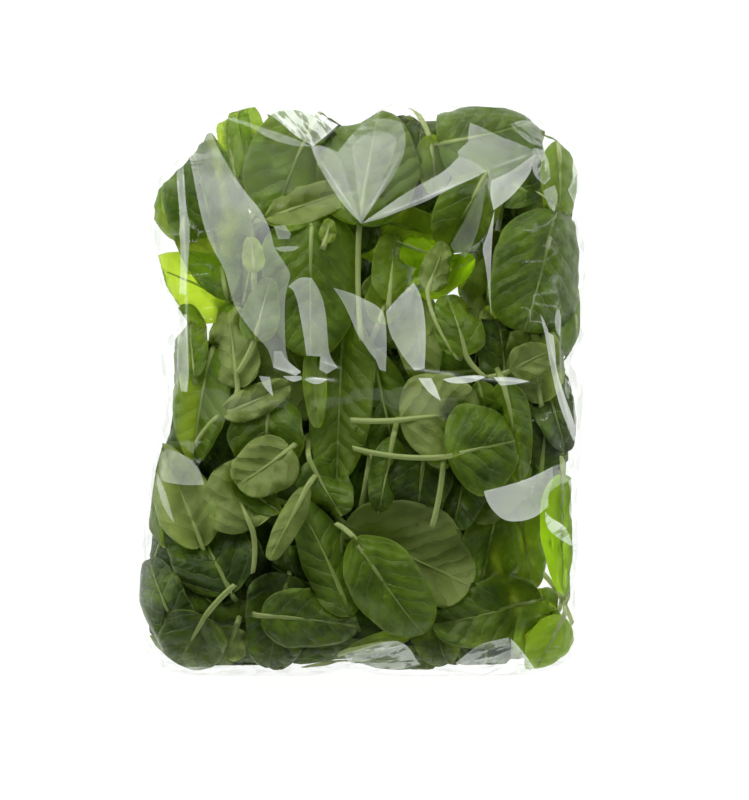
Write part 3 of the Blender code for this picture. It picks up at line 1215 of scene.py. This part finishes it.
def front_film(plan, rim_share, crinkle):
    """Heights of the front sheet, its painted reflections by face, and its folds, crumples, mottling of the
    painted glare and grain by point.
    """
    random = np.random.default_rng(FILM_SEED)
    x, y = plan.points[:, 0], plan.points[:, 1]
    calm = 1 - smooth_step(rim_share, 0.95, 1.0)
    centres = plan.points[np.array(plan.faces)].mean(1)
    height = np.array([BAG.height_at(px, py, 1) for px, py in plan.points])
    height = np.where(rim_share > 0.9999, BAG.rim_height, height)
    veil = np.zeros(len(centres))
    crumple = 0.8 * smooth_step(rim_share, 0.84, 0.97)
    upright = np.abs(x) * BAG.high[1] > np.abs(y) * BAG.high[0]
    run, across = np.where(upright, y, x), np.where(upright, x, y)
    for strength, grain, corners in FACETS:
        outline = [tuple(point) for point in rounded(corners)]
        depth = polygon_distance(centres[:, 0], centres[:, 1], outline)
        lean = random.uniform(-math.pi, math.pi)
        slant = (centres[:, 0] * math.cos(lean) + centres[:, 1] * math.sin(lean)) / FACET_REACH
        middle = slant[depth > 0].mean() if (depth > 0).any() else 0.0
        edge = np.exp(-np.maximum(depth, 0) / EDGE_REACH)
        shade = 1 + FACET_SHADE * np.tanh(slant - middle) + EDGE_SHADE * edge
        # painted reflection: how strongly each face of the facet glows
        veil = np.where(depth > 0, np.maximum(veil, strength * shade), veil)
        depth = polygon_distance(x, y, outline)
        height = height + np.clip(depth * FACET_SLOPE, 0, FACET_LIFT) * calm
        if grain is not None:
            share = smooth_step(depth, -3 * MM, 3 * MM)
            crumple = np.maximum(crumple, share)
            turn = math.radians(grain)
            run = np.where(share > 0, x * math.cos(turn) + y * math.sin(turn), run)
            across = np.where(share > 0, y * math.cos(turn) - x * math.sin(turn), across)
    fold = np.zeros(len(x))
    for start, end in CREASES:
        tent = crease_tent(x, y, np.multiply(start, MM), np.multiply(end, MM))
        fold = np.maximum(fold, tent)
    height = height + fold * CREASE_HEIGHT * calm
    broad = value_noise(x, y, random, 16 * MM) + 0.5 * value_noise(x, y, random, 7 * MM)
    fine = np.abs(value_noise(x * 0.5, y, random, 4 * MM) + value_noise(x, y * 0.4, random, 5 * MM))
    height = height + (BROAD_WAVE * broad + crinkle * crumple * (1 - fine)) * calm
    # mottling of the painted glare
    haze = 1.0 + 0.12 * value_noise(x, y, random, 12 * MM)
    haze = haze + 0.07 * value_noise(x * 2.2, y, random, 6 * MM)
    grain = np.column_stack([run, across * WRINKLE_RATIO, np.zeros(len(x))])
    return height, veil, {"fold": fold, "crumple": crumple, "haze": haze}, grain


def film_object(spacing, crinkle):
    """One closed sheet: the front, and the back joined to it at the edge."""
    turns = np.linspace(-math.pi, math.pi, RIM_TURNS + 1)[:-1]
    reaches = BAG.outline(turns)
    ring = [Vector((r * math.cos(t), r * math.sin(t))) for r, t in zip(reaches, turns)]
    rim = [ring[0]]
    for point in ring[1:]:
        if (point - rim[-1]).length > spacing:
            rim.append(point)
    lines = [(stepped(rounded(corners), True, spacing), True) for _, _, corners in FACETS]
    for start, end in CREASES:
        ends = [within_outline(Vector(start) * MM), within_outline(Vector(end) * MM)]
        lines.append((stepped(ends, False, spacing), False))
    front = FilmPlan(rim, spacing, lines)
    back = FilmPlan(rim, BACK_COARSER * spacing, [])

    def rim_share(plan):
        x, y = plan.points[:, 0], plan.points[:, 1]
        share = np.hypot(x, y) / BAG.outline(np.arctan2(y, x))
        share[plan.rim] = 1.0
        return share

    height, veil, fields, grain = front_film(front, rim_share(front), crinkle)
    height[front.rim] = BAG.rim_height
    low = np.array([max(0.0, BAG.height_at(px, py, -1)) for px, py in back.points])
    renumber = len(front.points) + np.arange(len(back.points))
    renumber[back.rim] = front.rim
    faces = front.faces + [tuple(int(renumber[k]) for k in face[::-1]) for face in back.faces]
    points = np.vstack([np.column_stack([front.points, height]), np.column_stack([back.points, low])])
    mesh = bpy.data.meshes.new("bag_film")
    mesh.from_pydata(points.tolist(), [], faces)
    store(mesh, "veil", "FLOAT", "FACE", np.concatenate([veil, np.zeros(len(back.faces))]))
    for name, values in fields.items():
        store(mesh, name, "FLOAT", "POINT", np.concatenate([values, np.zeros(len(back.points))]))
    grain = np.vstack([grain, np.zeros((len(back.points), 3))])
    store(mesh, "grain", "FLOAT_VECTOR", "POINT", grain)
    mesh.shade_smooth()
    folds = {tuple(sorted(edge)) for edge in front.folds}
    for edge in mesh.edges:
        if tuple(sorted(edge.vertices)) in folds:
            edge.use_edge_sharp = True
    drop_loose_points(mesh)
    made = bpy.data.objects.new("bag_film", mesh)
    bpy.context.scene.collection.objects.link(made)
    return made


def drop_loose_points(mesh):
    """Removes points that no face uses."""
    shape = bmesh.new()
    shape.from_mesh(mesh)
    loose = [point for point in shape.verts if not point.link_faces]
    bmesh.ops.delete(shape, geom=loose, context="VERTS")
    bmesh.ops.recalc_face_normals(shape, faces=shape.faces)
    shape.to_mesh(mesh)
    shape.free()


# ---------------------------------------------------------------------------------------------
# Materials
# ---------------------------------------------------------------------------------------------


def new_material(name):
    material = bpy.data.materials.new(name)
    material.use_nodes = True
    material.node_tree.nodes.clear()
    return material, Graph(material.node_tree)


def attribute(graph, name):
    return graph.add("ShaderNodeAttribute", {"attribute_name": name})


def number_attribute(graph, name):
    return attribute(graph, name)["Fac"]


def finish_thin(graph, outer):
    """The inner side of a skin is clear, so that light crosses a leaf as if it were one sheet."""
    inner = graph.add("ShaderNodeBsdfTransparent", None, {"Color": (1.0, 1.0, 1.0, 1.0)})
    inside = graph.add("ShaderNodeNewGeometry")["Backfacing"]
    surface = graph.add("ShaderNodeMixShader", None, {"Fac": inside, 1: outer, 2: inner})
    graph.add("ShaderNodeOutputMaterial", None, {"Surface": surface})


def blade_material(settings):
    """Deep green upper skin, paler lower skin, light veins, painted shade in the dips between pillows and on
    leaves that lie deep, and light that shines through.
    """
    material, graph = new_material("spinach_blade")
    side, along, _ = graph.split(attribute(graph, "leaf_plan")["Vector"])
    tone, chance = number_attribute(graph, "tone"), number_attribute(graph, "chance")
    pale, near_edge = number_attribute(graph, "pale_skin"), number_attribute(graph, "near_edge")
    place = graph.vector(side + chance, along + chance * 3.0)
    flat = {"noise_dimensions": "2D"}
    sockets = {"Vector": place, "Scale": 75.0, "Detail": 3.0, "Roughness": 0.6}
    patches = graph.add("ShaderNodeTexNoise", flat, sockets) - 0.5
    lateral = (along - abs(side) * VEIN_SLANT) / VEIN_SPACING + patches * 0.9 + chance * 3.0
    wave = abs(graph.math("FRACT", lateral) - 0.5)
    rib = 1.0 - graph.step(abs(side), 0.25 * MM, 0.95 * MM)
    ribs = (1.0 - graph.step(wave, 0.02, 0.085)) * (1.0 - graph.step(abs(side), 10 * MM, 24 * MM) * 0.7)
    quilting_and_shade = graph.step(wave, 0.0, 0.5)
    settings_2d = {"feature": "DISTANCE_TO_EDGE", "voronoi_dimensions": "2D"}
    cells = graph.add("ShaderNodeTexVoronoi", settings_2d, {"Vector": place, "Scale": 300.0})
    net = 1.0 - graph.step(cells, 0.02, 0.24)
    vein = graph.math("MAXIMUM", rib, ribs * 0.5)
    # darker for low tones, which paints shade on leaves that lie deep, and in the dips between the pillows,
    # which is painted shade; the mottled patches are the leaf's own colour
    darker = graph.clamp(0.5 - tone * 0.9 + patches * 2.4 - quilting_and_shade * 0.13)
    # yellower for high tones: young leaves, and a painted glow on leaves that the light shines through
    yellower = graph.clamp(tone * 1.15 - 0.1)
    face = graph.mix(darker, (*settings.leaf_light, 1.0), (*settings.leaf_dark, 1.0))
    face = graph.mix(yellower, face, (*settings.young_and_backlit_leaf, 1.0))
    under = graph.mix(darker * 0.85, (*settings.leaf_under, 1.0), (*settings.leaf_under_dark, 1.0))
    skin = graph.mix(pale, face, under)
    hem = graph.step(near_edge, 0.90, 1.0) * 0.45
    light_lines = graph.clamp(graph.math("MAXIMUM", vein * 0.55, hem) + net * 0.10)
    light_lines = light_lines * graph.clamp(0.85 + tone * 0.6)
    skin = graph.mix(light_lines, skin, (*settings.vein, 1.0))
    height = quilting_and_shade * 0.7 - vein * 0.7 + patches * 2.0
    height = height * (1.0 - pale * 1.7)
    normal = graph.add("ShaderNodeBump", None, {"Height": height, "Distance": 1.0 * MM, "Strength": 0.9})
    sockets = {
        "Base Color": skin,
        "Roughness": graph.clamp(0.40 + pale * 0.14 + patches * 0.5),
        "Specular IOR Level": 0.3,
        "Normal": normal,
    }
    skin_shader = graph.add("ShaderNodeBsdfPrincipled", None, sockets)
    glow = graph.add("ShaderNodeBsdfTranslucent", None, {"Color": (*settings.glow, 1.0)})
    factor = graph.clamp(0.30 + tone * 0.42 - vein * 0.12 - pale * 0.08)
    both = graph.add("ShaderNodeMixShader", None, {"Fac": factor, 1: skin_shader, 2: glow})
    finish_thin(graph, both)
    return material


def stalk_material(settings):
    """Pale green stalks with faint lengthwise lines."""
    material, graph = new_material("spinach_stalk")
    side, along, _ = graph.split(attribute(graph, "leaf_plan")["Vector"])
    tone, chance = number_attribute(graph, "tone"), number_attribute(graph, "chance")
    lines = graph.add(
        "ShaderNodeTexNoise",
        None,
        {"Vector": graph.vector(side * 9.0, along, chance), "Scale": 160.0, "Detail": 3.0},
    )
    colour = graph.mix(lines, (*settings.stalk, 1.0), (*settings.stalk_dark, 1.0))
    # low tones darken the stalk too: painted shade
    colour = graph.mix(graph.clamp(0.35 - tone), colour, (*settings.stalk_dark, 1.0))
    into_blade = graph.step(along, 2 * MM, 30 * MM)
    colour = graph.mix(into_blade * 0.6, colour, (*settings.leaf_light, 1.0))
    normal = graph.add("ShaderNodeBump", None, {"Height": lines, "Distance": 0.3 * MM, "Strength": 0.6})
    sockets = {"Base Color": colour, "Roughness": 0.38, "Normal": normal}
    skin = graph.add("ShaderNodeBsdfPrincipled", None, sockets)
    glow = graph.add("ShaderNodeBsdfTranslucent", None, {"Color": (*settings.glow_stalk, 1.0)})
    both = graph.add("ShaderNodeMixShader", None, {"Fac": 0.22, 1: skin, 2: glow})
    finish_thin(graph, both)
    return material


def film_material(settings):
    """Clear film: see-through, glossy, with a pale painted reflection that glows with its own light where a
    facet, a fold or a wrinkle would catch the light, and painted shade in the wrinkles.
    """
    material, graph = new_material("clear_film")
    crumple = number_attribute(graph, "crumple")
    grain = attribute(graph, "grain")["Vector"]
    sockets = {"Vector": grain, "Scale": 62.0, "Detail": 3.0, "Roughness": 0.62}
    streaks = graph.add("ShaderNodeTexNoise", {"noise_dimensions": "2D"}, sockets)
    valleys = abs(streaks - 0.5)
    # lines along the wrinkles where painted glints go
    painted_glint_line = 1.0 - graph.step(valleys, 0.0, 0.022)
    sockets = {"Height": valleys * crumple, "Distance": 5.0 * MM, "Strength": 0.8}
    normal = graph.add("ShaderNodeBump", None, sockets)
    clear = graph.add("ShaderNodeBsdfTransparent", None, {"Color": (0.985, 0.99, 0.985, 1.0)})
    sockets = {"Color": (1, 1, 1, 1), "Roughness": 0.06, "Normal": normal}
    gloss = graph.add("ShaderNodeBsdfGlossy", None, sockets)
    edge_on = graph.add("ShaderNodeLayerWeight", None, {"Blend": 0.5})["Facing"]
    shine = graph.clamp((edge_on ** 4.0 * 0.42 + 0.011) * settings.film_gloss)
    film = graph.add("ShaderNodeMixShader", None, {"Fac": shine, 1: clear, 2: gloss})
    # painted shade: in streaks on the crumpled parts the film takes a darker clear tint, as wrinkles that
    # turn away from the light would look
    painted_shade_tint = graph.add("ShaderNodeBsdfTransparent", None, {"Color": (0.60, 0.63, 0.58, 1.0)})
    painted_shade = crumple * graph.step(streaks, 0.50, 0.60) * 0.42
    film = graph.add("ShaderNodeMixShader", None, {"Fac": painted_shade, 1: film, 2: painted_shade_tint})
    # painted reflection: a pale surface that glows with its own light
    sockets = {"Base Color": (0.90, 0.93, 0.88, 1.0), "Roughness": 0.35}
    sockets.update({"Emission Color": (0.95, 1.0, 0.95, 1.0), "Emission Strength": 0.75})
    glaring = graph.add("ShaderNodeBsdfPrincipled", None, sockets)
    # the painted glare is mottled a little, and breaks up along the wrinkles
    haze = number_attribute(graph, "haze")
    veil = number_attribute(graph, "veil") * haze * (1.0 - crumple * graph.step(streaks, 0.46, 0.60) * 0.75)
    # painted highlight along the folds
    fold = number_attribute(graph, "fold") ** 3.0 * 0.8
    # painted glints along the crumpled wrinkles
    lines = crumple * crumple * painted_glint_line * 0.8
    veil = graph.clamp((veil + fold * haze + lines) * settings.painted_glare_strength)
    both = graph.add("ShaderNodeMixShader", None, {"Fac": veil, 1: film, 2: glaring})
    graph.add("ShaderNodeOutputMaterial", None, {"Surface": both})
    return material


def floor_material(settings):
    """Pale studio table that gives off an even light."""
    material, graph = new_material("studio_floor")
    noise = graph.add("ShaderNodeTexNoise", None, {"Scale": 6.0})
    colour = graph.mix(noise * 0.2, (0.32, 0.32, 0.32, 1.0), (0.28, 0.28, 0.29, 1.0))
    sockets = {"Base Color": colour, "Roughness": 0.8, "Emission Color": (1, 1, 1, 1)}
    sockets["Emission Strength"] = settings.floor_light
    surface = graph.add("ShaderNodeBsdfPrincipled", None, sockets)
    graph.add("ShaderNodeOutputMaterial", None, {"Surface": surface})
    return material


# ---------------------------------------------------------------------------------------------
# Settings
# ---------------------------------------------------------------------------------------------


def colour_setting(name, description, value):
    return bpy.props.FloatVectorProperty(
        name=name, description=description, default=value, size=3, subtype="COLOR", min=0.0, max=1.0
    )


class LeafSettings(bpy.types.PropertyGroup):
    """Number and colours of the leaves."""

    inner_count: bpy.props.IntProperty(
        name="Leaves behind", description="Leaves behind the ones that show", default=135, min=0
    )
    leaf_light: colour_setting("Upper skin", "Colour of a fresh upper skin", (0.155, 0.262, 0.019))
    leaf_dark: colour_setting("Dark upper skin", "Colour of a dark upper skin", (0.030, 0.066, 0.005))
    # yellow-green of young leaves, also used as a painted glow on leaves that the light shines through
    young_and_backlit_leaf: colour_setting("Young leaf", "Colour of a young leaf", (0.26, 0.36, 0.045))
    leaf_under: colour_setting("Lower skin", "Colour of the lower skin", (0.350, 0.430, 0.120))
    leaf_under_dark: colour_setting("Dark lower skin", "Dark lower skin", (0.125, 0.175, 0.034))
    vein: colour_setting("Vein", "Colour of the veins", (0.36, 0.46, 0.13))
    stalk: colour_setting("Stalk", "Colour of the stalks", (0.62, 0.70, 0.28))
    stalk_dark: colour_setting("Dark stalk", "Colour of the dark stalks", (0.34, 0.44, 0.12))
    glow: colour_setting("Light through a leaf", "Light that a blade lets through", (0.68, 0.93, 0.05))
    glow_stalk: colour_setting("Light through a stalk", "Light through a stalk", (0.75, 0.85, 0.30))


class FilmSettings(bpy.types.PropertyGroup):
    """Make and finish of the film."""

    spacing: bpy.props.FloatProperty(
        name="Point spacing",
        description="How far apart the points of the front film lie",
        default=1.35 * MM,
        unit="LENGTH",
    )
    crinkle: bpy.props.FloatProperty(
        name="Edge crinkle",
        description="Height of the crinkles near the edge",
        default=0.45 * MM,
        unit="LENGTH",
    )
    film_gloss: bpy.props.FloatProperty(
        name="Gloss", description="Strength of the film's reflections", default=1.05, min=0.0
    )
    # strength of the painted reflection that glows over the film's facets, folds and wrinkles
    painted_glare_strength: bpy.props.FloatProperty(
        name="Glare", description="How milky a facet that catches the light is", default=0.19, min=0.0
    )


class StageSettings(bpy.types.PropertyGroup):
    """Floor, lights and camera."""

    floor_light: bpy.props.FloatProperty(
        name="Floor light", description="Light that the floor gives off", default=0.95, min=0.0
    )
    floor_size: bpy.props.FloatProperty(
        name="Floor size", description="Side of the floor", default=6.0, unit="LENGTH"
    )
    camera_height: bpy.props.FloatProperty(
        name="Camera height", description="Height of the camera", default=1.6, unit="LENGTH"
    )
    view_height: bpy.props.FloatProperty(
        name="View height", description="Length of the bag's plan in view", default=0.381, unit="LENGTH"
    )


# ---------------------------------------------------------------------------------------------
# Operators
# ---------------------------------------------------------------------------------------------


class SPINACH_OT_leaves(bpy.types.Operator):
    """Build the leaves and pack them in the bag"""

    bl_idname = "spinach.leaves"
    bl_label = "Spinach Leaves"

    def execute(self, context):
        settings = context.scene.spinach_leaves
        materials = (blade_material(settings), stalk_material(settings))
        front_rows = front_leaf_rows(np.random.default_rng(FRONT_SEED))
        inner_rows = inner_leaf_rows(np.random.default_rng(INNER_SEED), settings.inner_count)
        front = leaves_object("front_leaves", front_rows, FRONT_GRID, materials)
        inner = leaves_object("inner_leaves", inner_rows, INNER_GRID, materials)
        stacks = [LeafStack(front, FRONT_GRID, FRONT_INSET), LeafStack(inner, INNER_GRID, INNER_INSET)]
        lay_leaves(stacks, np.random.default_rng(PILE_SEED))
        for made in (front, inner):
            finish_leaves(made)
            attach(made, BODY)
            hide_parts(BAG_NODE)
        return {"FINISHED"}


class SPINACH_OT_film(bpy.types.Operator):
    """Build the clear film round the leaves"""

    bl_idname = "spinach.film"
    bl_label = "Clear Film"

    def execute(self, context):
        settings = context.scene.spinach_film
        film = film_object(settings.spacing, settings.crinkle)
        film.data.materials.append(film_material(settings))
        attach(film, BODY)
        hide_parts(BAG_NODE)
        return {"FINISHED"}


FLOOR_LEVEL = -0.4 * MM
SKY_LOW, SKY_HIGH = (0.85, 0.87, 0.88, 1.0), (0.04, 0.045, 0.04, 1.0)
SENSOR_WIDTH = 36.0
CAMERA_PLACE = (6.2 * MM, -5.7 * MM)
KEY_POWER, STRIP_POWER = 16.0, 0.8


def add_softbox(name, place, size, power, aim=(0.0, 0.0, 0.02)):
    light = bpy.data.lights.new(name, "AREA")
    light.shape = "RECTANGLE"
    light.size, light.size_y = size
    light.energy = power
    made = bpy.data.objects.new(name, light)
    made.location = place
    made.rotation_mode = "QUATERNION"
    made.rotation_quaternion = (Vector(aim) - Vector(place)).to_track_quat("-Z", "Y")
    bpy.context.scene.collection.objects.link(made)
    return made


def add_floor(scene, settings):
    half, level = settings.floor_size / 2, FLOOR_LEVEL
    mesh = bpy.data.meshes.new("floor")
    corners = [(-half, -half, level), (half, -half, level), (half, half, level), (-half, half, level)]
    mesh.from_pydata(corners, [], [(0, 1, 2, 3)])
    mesh.materials.append(floor_material(settings))
    floor = bpy.data.objects.new("floor", mesh)
    scene.collection.objects.link(floor)


def add_sky(scene):
    """Light from the sides that fades to dark overhead, so that the film stays clear from above."""
    world = bpy.data.worlds.new("studio")
    world.use_nodes = True
    graph = Graph(world.node_tree)
    direction = graph.add("ShaderNodeTexCoord")["Generated"]
    rise = graph.step(graph.split(direction)[2], 0.05, 0.75)
    sky = graph.mix(rise, SKY_LOW, SKY_HIGH)
    background = world.node_tree.nodes["Background"]
    world.node_tree.links.new(sky.socket, background.inputs["Color"])
    scene.world = world


def add_camera(scene, settings):
    """Looks straight down on the bag."""
    data = bpy.data.cameras.new("camera")
    data.sensor_width = SENSOR_WIDTH
    data.lens = SENSOR_WIDTH * (settings.camera_height - BAG.rim_height) / settings.view_height
    camera = bpy.data.objects.new("camera", data)
    camera.location = (*CAMERA_PLACE, settings.camera_height)
    scene.collection.objects.link(camera)
    scene.camera = camera


class SPINACH_OT_stage(bpy.types.Operator):
    """Build the floor, the lights and the camera"""

    bl_idname = "spinach.stage"
    bl_label = "Stage"

    def execute(self, context):
        settings = context.scene.spinach_stage
        scene = context.scene
        scene.view_settings.view_transform = "Standard"
        add_floor(scene, settings)
        add_sky(scene)
        add_softbox("key_softbox", (-0.25, 0.95, 0.95), (2.0, 0.9), KEY_POWER)
        # the strips only show as reflections in the film
        for name, side in (("left_strip", -1), ("right_strip", 1)):
            strip = add_softbox(name, (side * 1.1, 0.1, 0.6), (0.03, 0.9), STRIP_POWER)
            strip.visible_diffuse = False
            strip.visible_transmission = False
        add_camera(scene, settings)
        return {"FINISHED"}


class SPINACH_PT_panel(bpy.types.Panel):
    """The steps that build the bag"""

    bl_idname = "SPINACH_PT_panel"
    bl_label = "Spinach Bag"
    bl_space_type = "VIEW_3D"
    bl_region_type = "UI"
    bl_category = "Spinach Bag"

    def draw(self, context):
        for step in STEPS:
            self.layout.operator(step.bl_idname)


STEPS = (SPINACH_OT_stage, SPINACH_OT_leaves, SPINACH_OT_film)
CLASSES = (LeafSettings, FilmSettings, StageSettings, *STEPS, SPINACH_PT_panel)


def register():
    for cls in CLASSES:
        bpy.utils.register_class(cls)
    bpy.types.Scene.spinach_leaves = bpy.props.PointerProperty(type=LeafSettings)
    bpy.types.Scene.spinach_film = bpy.props.PointerProperty(type=FilmSettings)
    bpy.types.Scene.spinach_stage = bpy.props.PointerProperty(type=StageSettings)


def unregister():
    del bpy.types.Scene.spinach_leaves
    del bpy.types.Scene.spinach_film
    del bpy.types.Scene.spinach_stage
    for cls in reversed(CLASSES):
        bpy.utils.unregister_class(cls)


def main():
    register()
    bpy.ops.spinach.stage()
    bpy.ops.spinach.leaves()
    bpy.ops.spinach.film()


if __name__ == "__main__":
    main()
